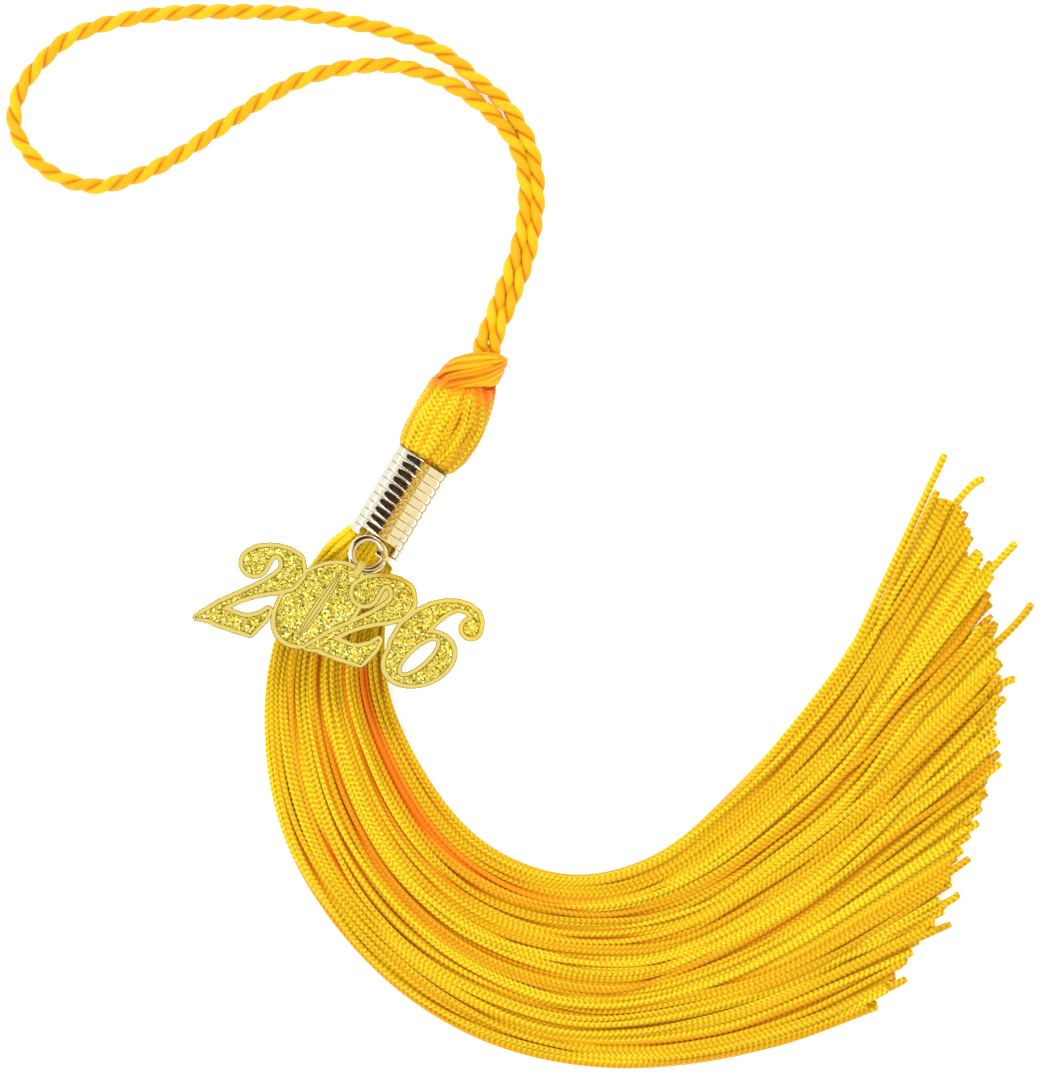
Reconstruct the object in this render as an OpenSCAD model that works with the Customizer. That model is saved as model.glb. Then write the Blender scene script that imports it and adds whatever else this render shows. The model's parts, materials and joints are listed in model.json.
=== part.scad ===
// Graduation tassel with a year charm, laid flat.
// Millimetres. +Z is up and the tassel lies on z = 0. The origin is under the middle of the tassel
// without its cord. The band's own frame has +X along the tassel from the band's upper rim towards
// the skirt, +Y across it and +Z up. The charm's own frame has +X along the digits' baseline.

/* [Band] */
// Outside diameter of the coiled band
band_d = 11; // [10.8:0.1:11.2]
// Thickness of the flat wire
wire_t = 0.5; // [0.4:0.05:0.6]
// Width of the flat wire
wire_w = 1.48; // [1.2:0.01:1.52]
// Distance from one turn to the next
wire_pitch = 1.6; // [1.56:0.01:1.62]

/* [Head] */
// Length of the yarn head above the band
head_l = 20.3; // [19:0.1:20.6]
// Widest radius of the yarn head
head_r = 6.55; // [6:0.05:7]
// Radius of the stopper knot inside the head
knot_r = 2.6; // [2:0.1:3]

/* [Ring] */
// Radius of the jump ring, to the middle of its wire
ring_r = 2.9; // [2.8:0.05:3]
// Radius of the jump ring's wire
ring_wire_r = 0.6; // [0.4:0.05:0.6]

/* [Charm] */
// Height of the 0
zero_h = 17; // [16.5:0.1:17.5]
// Width of the raised rim round each digit
rim_w = 0.75; // [0.5:0.05:0.9]
// Thickness of the cast plate under the rims
plate_t = 0.9; // [0.7:0.1:1.2]
// Height of the rims above the plate
rim_h = 0.5; // [0.3:0.05:0.7]
// Thickness of the glitter fill
fill_t = 0.3; // [0.1:0.05:0.3]

/* [Skirt] */
// Height of the skirt at the band
skirt_root_h = 8.2; // [7:0.1:8.3]
// Height of the skirt at its tips
skirt_tip_h = 2.6; // [1.5:0.1:4]
// Space between neighbouring locks
lock_gap = 0.3; // [0.1:0.05:0.5]

/* [Cord] */
// Diameter of the two-ply cord
cord_d = 2.8; // [2.4:0.1:2.8]

/* [Hidden] */
LOCKS = 10;
$fn = 48;

yarn_colour = "gold";
metal_colour = [0.90, 0.78, 0.45];
fill_colour = [0.80, 0.66, 0.20];

// Where the band's frame sits, and how far it is turned from the row's X axis
RIM = [-34.0, 44.95];
BAND_TURN = -120.9;
axis_z = band_d / 2;
neck_r = band_d / 2 - wire_t - 0.15;

// The coil: turns are counted from the one that first passes over the top
FIRST_TURN = -0.4;
PLAIN_TURNS = 9;
LAST_TURN = 10.3;
FIRST_A = 1.2;
TURN_STEPS = 24;

// The jump ring and the charm's hinge through its lowest arc
RING_A = 20;
ring_z = 10;
hinge_a = RING_A + ring_r;
plate_z = ring_z + ring_wire_r + 0.15;

// The skirt's pivot, just past the band's mouth
PIVOT_A = 24;
ROOT_R = 4.4;
LOCK_START_A = 25;

function band_point(a, b) =
    [RIM.x + a * cos(BAND_TURN) - b * sin(BAND_TURN), RIM.y + a * sin(BAND_TURN) + b * cos(BAND_TURN)];

module in_band() {
    translate([RIM.x, RIM.y, 0]) rotate([0, 0, BAND_TURN]) children();
}

// A point of the smooth curve through the points p, u running from 0 at the first to 1 at the last
function on_curve(p, u) =
    let (s = min(max(u, 0), 0.99999) * (len(p) - 1),
         i = floor(s), f = s - i,
         a = p[max(i - 1, 0)], b = p[i], c = p[i + 1], d = p[min(i + 2, len(p) - 1)])
    0.5 * (2 * b + (c - a) * f + (2 * a - 5 * b + 4 * c - d) * f * f
           + (3 * b - a - 3 * c + d) * f * f * f);

// A closed solid through rings of points, each ring with the same count, in order along the solid
module skin(rings) {
    n = len(rings[0]);
    last = len(rings) - 1;
    sides = [for (k = [0:last - 1], j = [0:n - 1])
        [k * n + j, k * n + (j + 1) % n, (k + 1) * n + (j + 1) % n, (k + 1) * n + j]];
    caps = [[for (j = [n - 1:-1:0]) j], [for (j = [0:n - 1]) last * n + j]];
    polyhedron([for (r = rings) each r], concat(sides, caps), convexity = 8);
}

function unit(v) = v / norm(v);

// A round tube through the points p
module tube(p, d, sides) {
    last = len(p) - 1;
    skin([for (k = [0:last])
        let (t = unit(p[min(k + 1, last)] - p[max(k - 1, 0)]),
             across = unit(cross([0, 0, 1], t)),
             up = cross(t, across))
        [for (j = [0:sides - 1])
            p[k] + d / 2 * (cos(360 * j / sides) * across + sin(360 * j / sides) * up)]]);
}

// Head -------------------------------------------------------------------------------------------

// Outline of the head, as [distance from the band's rim, radius]
head_outline = [
    [0, 5.55], [2.5, 6.1], [6, head_r], [10, head_r - 0.05], [13.5, 5.9],
    [16.8, 4.6], [19, 3.1], [head_l, 1.9]];

module about_axis() {
    translate([0, 0, axis_z]) rotate([0, 90, 0]) children();
}

module yarn_head() {
    color(yarn_colour) in_band() difference() {
        intersection() {
            about_axis() rotate([180, 0, 0]) rotate_extrude()
                polygon(concat([[0, 0.3]],
                    [for (k = [0:14]) let (q = on_curve(head_outline, k / 14)) [q.y, max(q.x, 0.3)]],
                    [[0, head_l]]));
            translate([-40, -20, 0]) cube([60, 40, 20]);
        }
        translate([-13, 0, axis_z]) sphere(knot_r + 0.15);
    }
}

module stopper_knot() {
    color(yarn_colour) in_band() translate([-13, 0, axis_z]) sphere(knot_r);
}

// Collar of wrapped yarn that closes the head round the cord
module cord_hitch() {
    color(yarn_colour) in_band() translate([-head_l - 1.1, 0.6, axis_z]) rotate([0, 90, 0])
        rotate_extrude() translate([1.9, 0]) circle(r = 0.9);
}

// Thread that ties the neck under the band
binding_a = 3;
binding_w = 3;

module neck_binding() {
    color("goldenrod") in_band() translate([binding_a, 0, 0]) about_axis() difference() {
        cylinder(r = neck_r - 0.05, h = binding_w);
        translate([0, 0, -1]) cylinder(r = neck_r - 0.45, h = binding_w + 2);
    }
}

module yarn_neck() {
    color(yarn_colour) in_band() difference() {
        translate([0.2, 0, 0]) about_axis() cylinder(r = neck_r, h = 20);
        translate([binding_a - 0.05, 0, 0]) about_axis() difference() {
            cylinder(r = neck_r + 1, h = binding_w + 0.1);
            translate([0, 0, -1]) cylinder(r = neck_r - 0.5, h = binding_w + 3);
        }
        // Room for the jump ring and the last turn of wire
        translate([16.2, -6, skirt_root_h]) cube([10, 12, 6]);
        // Hollow end that the skirt's root turns in
        translate([PIVOT_A, 0, -1]) cylinder(r = ROOT_R + 0.15, h = 20, $fn = 96);
    }
}

// Band -------------------------------------------------------------------------------------------

// Place of the wire's middle along the band after t turns. The last turn runs out towards the ring
function wire_a(t) =
    FIRST_A + wire_pitch * t + (t > PLAIN_TURNS ? 1.2 * pow(t - PLAIN_TURNS, 1.2) : 0);

// The last turn dips under the ring on one side and rides over it on the other, so that the ring is
// threaded on it. How far it dips and rises, and the middle and half width of each, in degrees
DIP = 1.65;
DIP_AT = [-21, 20];
RISE = 1.15;
RISE_AT = [31, 18];

function bump(angle, at) = exp(-pow((angle - at.x) / at.y, 2));

// Radius to the wire's middle
function wire_r(t) =
    let (angle = (t - PLAIN_TURNS - 1) * 360)
    band_d / 2 - wire_t / 2 - DIP * bump(angle, DIP_AT) + RISE * bump(angle, RISE_AT);

// The last turn tapers to two thirds of the wire's width
function wire_width(t) = wire_w * (1 - 0.34 * min(max((t - PLAIN_TURNS - 0.3) / 0.4, 0), 1));

module coil_band() {
    steps = ceil((LAST_TURN - FIRST_TURN) * TURN_STEPS);
    color(metal_colour) in_band() translate([0, 0, axis_z])
        skin([for (k = [0:steps])
            let (t = FIRST_TURN + (LAST_TURN - FIRST_TURN) * k / steps, w = wire_width(t) / 2)
            [for (c = [[-w, -1], [w, -1], [w, 1], [-w, 1]])
                let (r = wire_r(t) + c.y * wire_t / 2)
                [wire_a(t) + c.x, r * sin(360 * t), r * cos(360 * t)]]]);
}

// Ring -------------------------------------------------------------------------------------------

module charm_ring() {
    color(metal_colour) in_band() translate([RING_A, 0, ring_z])
        rotate_extrude() translate([ring_r, 0]) circle(r = ring_wire_r);
}

// Charm ------------------------------------------------------------------------------------------

// Where the charm's frame sits, how far it is turned, and how much the digits lean
CHARM = [-76.0, 16.45];
CHARM_TURN = -15.3;
LEAN = 0.33;
SECOND_TWO_X = 20.5;

// Strokes of the digit 2, as [x, y, radius]: the swash and the foot
swash = [
    [8.4, 12.5, 2.85], [9.1, 13.7, 2.45], [10.4, 15.1, 1.6], [12.0, 15.7, 1.3], [13.6, 15.3, 1.7],
    [15.0, 14.2, 2.4], [15.4, 12.8, 2.6], [14.8, 11.3, 2.5], [13.3, 10.0, 2.1], [11.4, 8.7, 1.6],
    [9.3, 7.3, 1.3], [7.0, 5.6, 1.15], [4.6, 3.5, 1.25], [2.4, 1.5, 1.0], [0.9, 0.3, 0.65]];
foot = [
    [0.9, 0.3, 0.65], [3.0, 1.2, 1.35], [5.2, 1.6, 2.1], [8.5, 1.3, 2.0], [10.3, 1.4, 2.1],
    [12.3, 3.4, 1.3], [13.0, 4.9, 0.85]];
foot_corner = [[9.5, 0.4, 1.1], [11.0, 0.0, 0.7], [12.3, 3.4, 1.3]];
// Arm of the digit 6
arm = [
    [49.0, 11.3, 2.2], [49.6, 12.6, 1.5], [49.1, 13.9, 1.25], [47.6, 14.7, 1.1], [45.6, 14.7, 1.2],
    [43.6, 13.8, 1.6], [41.8, 12.3, 2.1], [40.2, 10.4, 2.5], [38.8, 7.8, 2.9], [38.2, 5.0, 3.0]];

module stroke(p, inset) {
    for (k = [0:len(p) - 2]) hull() for (q = [p[k], p[k + 1]])
        translate([q.x, q.y]) circle(r = max(q.z - inset, 0.15), $fn = 28);
}

// A leaning ellipse, its middle at the given point
module leaning(middle, half_w, half_h, lean) {
    translate(middle) polygon([for (k = [0:59])
        let (y = half_h * sin(6 * k)) [half_w * cos(6 * k) + lean * y, y]]);
}

module digit_two(x, inset) {
    translate([x, 0]) {
        stroke(swash, inset);
        stroke(foot, inset);
        stroke(foot_corner, inset);
    }
}

module digit_zero(inset) {
    leaning([21.5, 8.3], 7.2 - inset, zero_h / 2 + 0.3 - inset, LEAN);
}

module zero_slit(grow) {
    leaning([21.6, 8.2], 0.4 + grow, 6.2 + grow, LEAN);
}

module digit_six(inset) {
    difference() {
        union() {
            stroke(arm, inset);
            leaning([41.4, 3.7], 6.2 - inset, 5.8 - inset, LEAN);
        }
        translate([41.3, 4.0]) rotate(57) scale([(4.1 + inset) / 5, (1.25 + inset) / 5]) circle(r = 5);
    }
}

// What each glitter fill covers: its digit inside the rim, less the digits that lie over it
module fill_shape(n) {
    if (n == 0) difference() {
        digit_two(0, rim_w);
        intersection() {
            digit_zero(0);
            translate([0, -5]) square([60, 12.5]);
        }
    }
    if (n == 1) difference() {
        digit_zero(rim_w);
        zero_slit(0.45);
        intersection() {
            digit_two(0, 0);
            translate([0, 7.5]) square([60, 15]);
        }
        digit_two(SECOND_TWO_X, 0);
    }
    if (n == 2) difference() {
        digit_two(SECOND_TWO_X, rim_w);
        digit_six(0);
    }
    if (n == 3) digit_six(rim_w);
}

// Half length and half width of the bail's tab, and its place in the band's frame
TAB_L = 1.45;
TAB_W = 0.65;

module tab_shape(grow) {
    hull() for (s = [-1, 1]) translate([hinge_a + s * (TAB_L - TAB_W), 0]) circle(r = TAB_W + grow);
}

module in_charm() {
    translate([CHARM.x, CHARM.y, 0]) rotate([0, 0, CHARM_TURN]) children();
}

module charm_outline() {
    digit_two(0, 0);
    digit_zero(0);
    digit_two(SECOND_TWO_X, 0);
    digit_six(0);
}

// What is sunk below the rims: the fills' pockets and the slit of the 0
module sunk_shape() {
    for (n = [0:3]) fill_shape(n);
    zero_slit(0);
}

// Web behind the upper slit of the second 2
module web() {
    translate([SECOND_TWO_X + 11.6, 12.4]) cylinder(r = 2.1, h = plate_t - 0.1);
}

module charm_plate() {
    color(metal_colour) difference() {
        in_charm() translate([0, 0, plate_z]) {
            difference() {
                linear_extrude(plate_t + rim_h) charm_outline();
                translate([0, 0, plate_t]) linear_extrude(rim_h + 1) sunk_shape();
            }
            web();
        }
        in_band() translate([0, 0, plate_z - 1]) linear_extrude(plate_t + 3) tab_shape(0.02);
    }
}

module glitter(n) {
    color(fill_colour) in_charm() translate([0, 0, plate_z + plate_t]) linear_extrude(fill_t)
        difference() {
            fill_shape(n);
            rotate(-CHARM_TURN) translate(-CHARM) translate(RIM) rotate(BAND_TURN) tab_shape(0.3);
        }
}

// Tab on the charm's edge with a loop under it that the ring passes through
module charm_bail() {
    loop_r = 0.98;
    loop_wire_r = 0.24;
    color(metal_colour) in_band() {
        translate([0, 0, plate_z]) linear_extrude(plate_t) tab_shape(0);
        translate([hinge_a, 0, ring_z]) {
            rotate([90, 0, 0]) rotate([0, 0, 180]) rotate_extrude(angle = 180)
                translate([loop_r, 0]) circle(r = loop_wire_r);
            for (s = [-1, 1]) translate([s * loop_r, 0, 0])
                cylinder(r = loop_wire_r, h = plate_z - ring_z + 0.1);
        }
    }
}

// Skirt ------------------------------------------------------------------------------------------

// Lines along the skirt's outer edge, its middle and its inner edge, from the root to the tips.
// Points with the same place in each list are the same length of yarn from the band
outer_edge = [
    band_point(LOCK_START_A, -7.3), [-61, 12], [-62.5, -5.5], [-59, -23], [-50, -38.5],
    [-37.5, -51.5], [-22, -60.5], [-4.5, -64.5], [13, -64], [30.5, -60], [47, -53.5]];
middle_line = [
    band_point(LOCK_START_A, -0.4), [-52, 7.5], [-49, -10], [-41.5, -26], [-29, -38.5],
    [-13, -45.5], [5, -47], [21.5, -41], [37, -32], [51, -20.5], [64.5, -9]];
inner_edge = [
    band_point(LOCK_START_A, 6.5), [-42, 4], [-34.5, -11.5], [-23.5, -24.5], [-7.5, -30.5],
    [8.5, -26], [21.5, -14.5], [33, -1.5], [43, 12], [51, 27.5], [57.5, 41]];
// Height of the skirt at the same places, as a share of its height at the root
height_share = [1, 1, 0.98, 0.94, 0.88, 0.8, 0.7, 0.58, 0.45, 0.3, 0.15];

// A point of the skirt, w running from 0 at the outer edge to 1 at the inner edge
function skirt_point(t, w) =
    let (o = on_curve(outer_edge, t), m = on_curve(middle_line, t), i = on_curve(inner_edge, t))
    o * (1 - w) * (1 - 2 * w) + m * 4 * w * (1 - w) + i * w * (2 * w - 1);

function skirt_height(t, w) =
    (skirt_tip_h + (skirt_root_h - skirt_tip_h) * (on_curve(height_share, t) - 0.15) / 0.85)
    * (1 - 0.45 * pow(abs(2 * w - 1), 2.5));

LOCK_RINGS = 24;

module skirt_lock(n) {
    reach = 1 - 0.035 * (n * 7 % 4) / 3;
    color(yarn_colour) skin([for (k = [0:LOCK_RINGS])
        let (t = k < LOCK_RINGS ? k / LOCK_RINGS : reach,
             width = norm(skirt_point(t, 0) - skirt_point(t, 1)),
             low = (n - 1) / LOCKS + lock_gap / 2 / width,
             high = n / LOCKS - lock_gap / 2 / width,
             quarter = (high - low) / 4)
        [for (c = [[low, 0], [high, 0], [high, 0.72], [high - quarter, 0.97],
                   [low + quarter, 0.97], [low, 0.72]])
            let (q = skirt_point(t, c.x)) [q.x, q.y, c.y * skirt_height(t, c.x)]]]);
}

// Turning root of the skirt: round where it meets the neck, flat where the locks start
module skirt_root() {
    color(yarn_colour) in_band() intersection() {
        translate([PIVOT_A, 0, 1]) cylinder(r = ROOT_R, h = skirt_root_h - 1, $fn = 96);
        translate([PIVOT_A - 10, -10, 0]) cube([LOCK_START_A - PIVOT_A + 9.9, 20, 20]);
    }
}

// Single strands that lie apart from the locks, as [start, end] on the surface
strays = [
    [[69, 12], [75.3, 19.1]], [[66, 23], [72.4, 30.0]], [[67.2, 2.5], [72.4, 5.3]],
    [[58, 42.3], [59.6, 46]], [[61.5, 37], [66.6, 41.6]], [[58.5, -35.5], [61.2, -33.3]]];
STRAY_R = 0.55;

module loose_ends() {
    color(yarn_colour) for (s = strays)
        tube([for (p = s) [p.x, p.y, STRAY_R]], 2 * STRAY_R, 8);
}

// Cord -------------------------------------------------------------------------------------------

// Route of the cord's middle, from the hitch round the loop and back
cord_route = [
    [-20.8, 68.2, 4.6], [-19.2, 72.2, 3.4], [-17.5, 76.5, 2.2], [-16.1, 80.5, 1.7], [-14.9, 85.0, 1.5],
    [-14.0, 90.5, 1.5], [-14.0, 96.0, 1.5], [-15.0, 101.5, 1.5], [-17.0, 106.5, 1.5],
    [-20.0, 110.5, 1.5], [-24.5, 114.0, 1.5], [-30.0, 117.5, 1.5], [-37.0, 120.8, 1.5],
    [-46.0, 123.2, 1.5], [-57.0, 125.0, 1.5], [-68.0, 125.4, 1.5], [-79.0, 125.2, 1.5],
    [-89.0, 123.8, 1.5], [-97.5, 121.0, 1.5], [-103.5, 116.0, 1.5], [-107.2, 110.5, 1.5],
    [-107.8, 104.5, 1.5], [-104.5, 99.0, 1.5], [-99.5, 95.5, 1.5], [-93.0, 94.0, 1.5],
    [-86.0, 95.8, 1.5], [-78.5, 99.5, 1.5], [-71.0, 104.5, 1.5], [-63.5, 109.5, 1.5],
    [-55.5, 113.5, 1.5], [-47.0, 115.5, 1.5], [-39.0, 115.6, 1.5], [-31.5, 113.3, 1.5],
    [-25.5, 109.8, 1.5], [-20.5, 105.0, 1.5], [-17.8, 100.0, 1.5], [-17.0, 94.5, 1.5],
    [-17.4, 89.0, 1.5], [-18.5, 83.5, 1.6], [-20.1, 78.5, 2.1], [-22.0, 73.5, 3.4],
    [-24.2, 68.0, 4.6]];

module cord_loop() {
    rings = 78;
    color(yarn_colour) tube([for (k = [0:rings]) on_curve(cord_route, k / rings)], cord_d, 8);
}

// ------------------------------------------------------------------------------------------------

yarn_head();
yarn_neck();
neck_binding();
coil_band();
stopper_knot();
cord_hitch();
charm_ring();
charm_plate();
charm_bail();
glitter(0);  // glitter_first
glitter(1);  // glitter_second
glitter(2);  // glitter_third
glitter(3);  // glitter_fourth
skirt_root();
loose_ends();
cord_loop();
for (i = [1:LOCKS]) skirt_lock(i);
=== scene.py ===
import json
import math

import bpy
import numpy as np
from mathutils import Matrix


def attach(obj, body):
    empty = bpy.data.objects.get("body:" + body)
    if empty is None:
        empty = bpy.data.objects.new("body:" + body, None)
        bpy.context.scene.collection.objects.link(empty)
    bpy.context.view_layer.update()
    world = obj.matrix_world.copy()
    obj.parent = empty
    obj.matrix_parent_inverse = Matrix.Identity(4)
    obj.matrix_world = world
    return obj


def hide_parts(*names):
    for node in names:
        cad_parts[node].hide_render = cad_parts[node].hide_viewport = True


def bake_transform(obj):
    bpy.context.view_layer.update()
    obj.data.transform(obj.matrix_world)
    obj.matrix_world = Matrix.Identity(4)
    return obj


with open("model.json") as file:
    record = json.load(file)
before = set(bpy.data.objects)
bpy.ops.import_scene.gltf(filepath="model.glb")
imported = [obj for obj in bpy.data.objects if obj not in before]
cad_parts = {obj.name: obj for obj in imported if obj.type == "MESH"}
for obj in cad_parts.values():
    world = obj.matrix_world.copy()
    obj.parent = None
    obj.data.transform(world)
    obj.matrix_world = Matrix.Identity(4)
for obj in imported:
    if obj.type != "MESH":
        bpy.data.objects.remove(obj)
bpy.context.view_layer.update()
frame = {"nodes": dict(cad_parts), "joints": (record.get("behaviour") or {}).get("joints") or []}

# The script is worked out in millimetres, in the row's frame, and pieces are made in metres.
MM = 0.001
TURN = 2 * math.pi
# The golden angle, in half turns. As the turn from each strand to the next, it fills a disc evenly
GOLDEN_TURN = 3 - math.sqrt(5)
SEED = 2411

joints = {joint["name"]: joint for joint in frame["joints"]}
scene = bpy.context.scene
scene.view_settings.view_transform = "Standard"

# Frame ------------------------------------------------------------------------------------------

# The band's own frame: a runs along the tassel from the band's upper rim, b runs across it
PIVOT_A = 24.0
# Height of the band's axis over the table
AXIS_Z = 5.5
ACROSS = -np.array(joints["charm_lift"]["axis"])[:2]
ACROSS /= np.linalg.norm(ACROSS)
ALONG = np.array([ACROSS[1], -ACROSS[0]])
RIM = np.array(joints["skirt_sweep"]["pos_m"])[:2] / MM - PIVOT_A * ALONG


def band_xy(a, b):
    """Places in the row's frame of points given along and across the band."""
    a, b = np.asarray(a, float)[..., None], np.asarray(b, float)[..., None]
    return RIM + a * ALONG + b * ACROSS


def band_point(a, b, z):
    return np.append(band_xy(a, b), z)


def smooth(x, low, high):
    """0 at low, 1 at high, and a smooth step between. With low above high, it falls along x."""
    t = np.clip((np.asarray(x, float) - low) / (high - low), 0, 1)
    return t * t * (3 - 2 * t)


def on_curve(points, u):
    """The smooth curve through the points, read at u from 0 to 1. Past its ends it runs straight on."""
    p = np.asarray(points, float)
    last = len(p) - 1
    inside = np.clip(u, 0, 1)
    s = inside * last
    i = np.minimum(s.astype(int), last - 1)
    f = (s - i)[:, None]
    a, b, c, d = p[np.maximum(i - 1, 0)], p[i], p[i + 1], p[np.minimum(i + 2, last)]
    q = 0.5 * (2 * b + (c - a) * f + (2 * a - 5 * b + 4 * c - d) * f**2 + (3 * b - a - 3 * c + d) * f**3)
    over = ((u - inside) * last)[:, None]
    return q + over * np.where(over < 0, p[1] - p[0], p[-1] - p[-2])


def curve_through(points, steps):
    return on_curve(points, np.linspace(0, 1, steps))


def lengths(points):
    """Distance along a line of points, from its first to each."""
    return np.concatenate([[0], np.cumsum(np.linalg.norm(np.diff(points, axis=0), axis=1))])


def at_lengths(points, where):
    """The line of points read at the given distances along it."""
    along = lengths(points)
    return np.stack([np.interp(where, along, points[:, k]) for k in range(points.shape[1])], axis=1)


# Camera -----------------------------------------------------------------------------------------

# The middle of the view and its height, in the plane of the table. The camera looks straight down
VIEW_MIDDLE = (-16.7, 30.9)
VIEW_HEIGHT = 193.3
CAMERA_HEIGHT = 4000.0
SENSOR = 36.0

camera = bpy.data.objects.new("camera", bpy.data.cameras.new("camera"))
camera.data.sensor_width = SENSOR
camera.data.lens = SENSOR * CAMERA_HEIGHT / VIEW_HEIGHT
camera.data.clip_start = 0.01
camera.data.clip_end = 10
camera.location = (VIEW_MIDDLE[0] * MM, VIEW_MIDDLE[1] * MM, CAMERA_HEIGHT * MM)
scene.collection.objects.link(camera)
scene.camera = camera

# Materials --------------------------------------------------------------------------------------


class Nodes:
    """Short calls for building a material's nodes."""

    def __init__(self, name):
        self.material = bpy.data.materials.new(name)
        self.material.use_nodes = True
        self.tree = self.material.node_tree
        self.shader = self.tree.nodes["Principled BSDF"]

    def set(self, **sockets):
        for name, value in sockets.items():
            self.shader.inputs[name.replace("_", " ")].default_value = value

    def plug(self, value, socket):
        if isinstance(value, bpy.types.NodeSocket):
            self.tree.links.new(value, socket)
        else:
            socket.default_value = value

    def add(self, kind, inputs=(), **settings):
        node = self.tree.nodes.new("ShaderNode" + kind)
        for key, value in settings.items():
            setattr(node, key, value)
        for key, value in dict(inputs).items():
            self.plug(value, node.inputs[key])
        return node

    def attribute(self, name, output="Fac"):
        return self.add("Attribute", attribute_name=name).outputs[output]

    def math(self, operation, a, b=0.0):
        return self.add("Math", {0: a, 1: b}, operation=operation).outputs[0]

    def spread(self, value, low, high, to_low=0.0, to_high=1.0):
        inputs = {"Value": value, "From Min": low, "From Max": high, "To Min": to_low, "To Max": to_high}
        return self.add("MapRange", inputs, interpolation_type="SMOOTHSTEP").outputs[0]

    def mix(self, factor, a, b):
        node = self.add("Mix", data_type="RGBA")
        self.plug(factor, node.inputs["Factor"])
        self.plug(a, node.inputs[6])
        self.plug(b, node.inputs[7])
        return node.outputs[2]

    def noise(self, vector, scale, detail=2.0):
        inputs = {"Vector": vector, "Scale": scale, "Detail": detail}
        return self.add("TexNoise", inputs).outputs["Fac"]

    def stretched(self, vector, scale):
        return self.add("VectorMath", {0: vector, 1: scale}, operation="MULTIPLY").outputs[0]

    def place(self):
        return self.add("TexCoord").outputs["Object"]

    def bump(self, height, distance, strength):
        inputs = {"Height": height, "Distance": distance, "Strength": strength}
        return self.add("Bump", inputs).outputs["Normal"]

    def connect(self, **sockets):
        for name, value in sockets.items():
            self.plug(value, self.shader.inputs[name.replace("_", " ")])


# The yarn's tones. The brightest is also its painted light, orange is also its painted shade, red is painted
# shade only, and the last is the painted shade in the holes between its stitches
YELLOW = (0.88, 0.53, 0.006, 1)
BRIGHT = (1.0, 0.74, 0.016, 1)
AMBER = (0.83, 0.40, 0.004, 1)
ORANGE = (0.80, 0.24, 0.004, 1)
RED = (0.86, 0.13, 0.005, 1)
HOLE_SHADE = (0.46, 0.23, 0.002, 1)
# The tint of the yarn's shine
GLOSS = (1.0, 0.82, 0.30, 1)
# Painted shade for plate in its seams, and painted shade down the sides of the charm
SEAM_SHADE = (0.13, 0.06, 0.015, 1)
WALL_SHADE = (0.36, 0.28, 0.05, 1)
# How much darker worn plate is
WORN = 0.82

# How far a stitch leans over a quarter of the yarn's girth, in stitches
SLANT = 0.7


def yarn_material(name, stitched, roughness=0.42):
    """Satin rayon. Stitched yarn is a knitted chain, with a hole beside each loop.

    Yarn is painted with orange and red shade where deep goes to 1, and with painted light where it goes to
    -1. The holes beside the loops get painted shade too."""
    n = Nodes(name)
    strand, deep = n.attribute("strand"), n.attribute("deep")
    fibre = n.attribute("fibre", "Vector")
    streak = n.noise(n.stretched(fibre, (5.0, 5.0, 1.3)), 1.0, 3.0)
    colour = n.mix(n.spread(strand, 0.0, 0.4), AMBER, YELLOW)
    colour = n.mix(n.spread(strand, 0.35, 0.9), colour, BRIGHT)
    colour = n.mix(n.spread(streak, 0.4, 0.75, 0.0, 0.45), colour, ORANGE)
    height = streak
    if stitched:
        phase = n.math("SUBTRACT", n.attribute("stitch"), n.math("MULTIPLY", n.attribute("wale"), SLANT))
        ridge = n.math("COSINE", n.math("MULTIPLY", phase, TURN))
        side = n.math("ABSOLUTE", n.math("SUBTRACT", n.attribute("wale"), 0.5))
        open_side = n.spread(side, 0.05, 0.5, 0.5, 1.0)
        # Painted shade in the hole beside each loop, between the ridges and on the chain's open sides
        hole = n.math("MULTIPLY", n.spread(ridge, -0.9, 0.75, 1.0, 0.0), open_side)
        colour = n.mix(n.math("MULTIPLY", hole, 0.85), colour, HOLE_SHADE)
        height = n.math("ADD", n.math("MULTIPLY", streak, 0.3), n.math("MULTIPLY", ridge, 0.5))
    # Painted light where deep is below 0, then painted orange and red shade as it rises towards 1
    colour = n.mix(n.spread(deep, -1.0, 0.0, 0.7, 0.0), colour, BRIGHT)
    colour = n.mix(n.spread(deep, 0.1, 0.6, 0.0, 0.85), colour, ORANGE)
    colour = n.mix(n.spread(deep, 0.55, 1.0, 0.0, 0.8), colour, RED)
    n.connect(Base_Color=colour, Normal=n.bump(height, 0.00018, 0.6))
    n.connect(Roughness=n.spread(streak, 0.3, 0.7, roughness - 0.06, roughness + 0.1))
    n.set(Sheen_Weight=0.12, Sheen_Roughness=0.4, Sheen_Tint=GLOSS)
    n.set(Specular_IOR_Level=0.35, Specular_Tint=GLOSS)
    return n.material


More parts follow.
